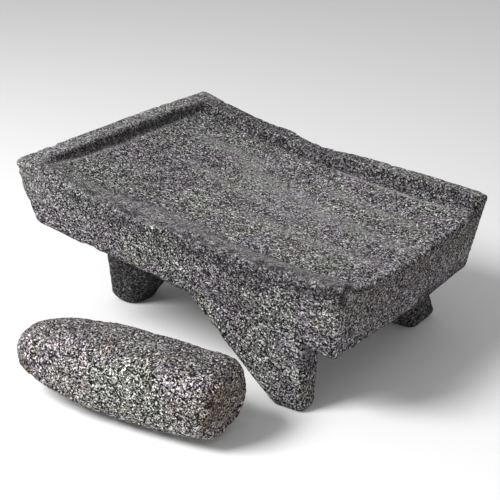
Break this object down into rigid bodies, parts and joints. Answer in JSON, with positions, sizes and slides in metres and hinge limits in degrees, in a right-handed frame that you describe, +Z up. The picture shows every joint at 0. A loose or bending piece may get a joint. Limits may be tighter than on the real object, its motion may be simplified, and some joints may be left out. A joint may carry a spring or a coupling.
{
  "type": "metate with mano",
  "caption": "Low grinding slab of grey volcanic stone on three carved legs, sloping and rimmed round its high end, with a loose bar-shaped hand stone for grinding maize and chillies.",
  "frame": {"origin": "on the ground, under the middle of the box round the slab and its hand stone together", "axes": "+X along the slab from its high closed end to its low open end, +Y across it and away from the hand stone, +Z up"},
  "size_m": [0.33, 0.3696, 0.168],
  "materials": {
    "metate_stone": "rough pecked vesicular basalt, rubbed a little smoother on the grinding floor",
    "mano_stone": "coarse open-grained basalt, lighter than the slab, with a few brown iron stains"
  },
  "bodies": {
    "metate": {"metate": "metate_stone"},
    "mano": {"mano": "mano_stone"}
  },
  "joints": [
    {"name": "mano_lift", "type": "slide", "parent": "metate", "child": "mano", "axis": [0, 0, 1], "range_m": [0, 0.25]}
  ]
}
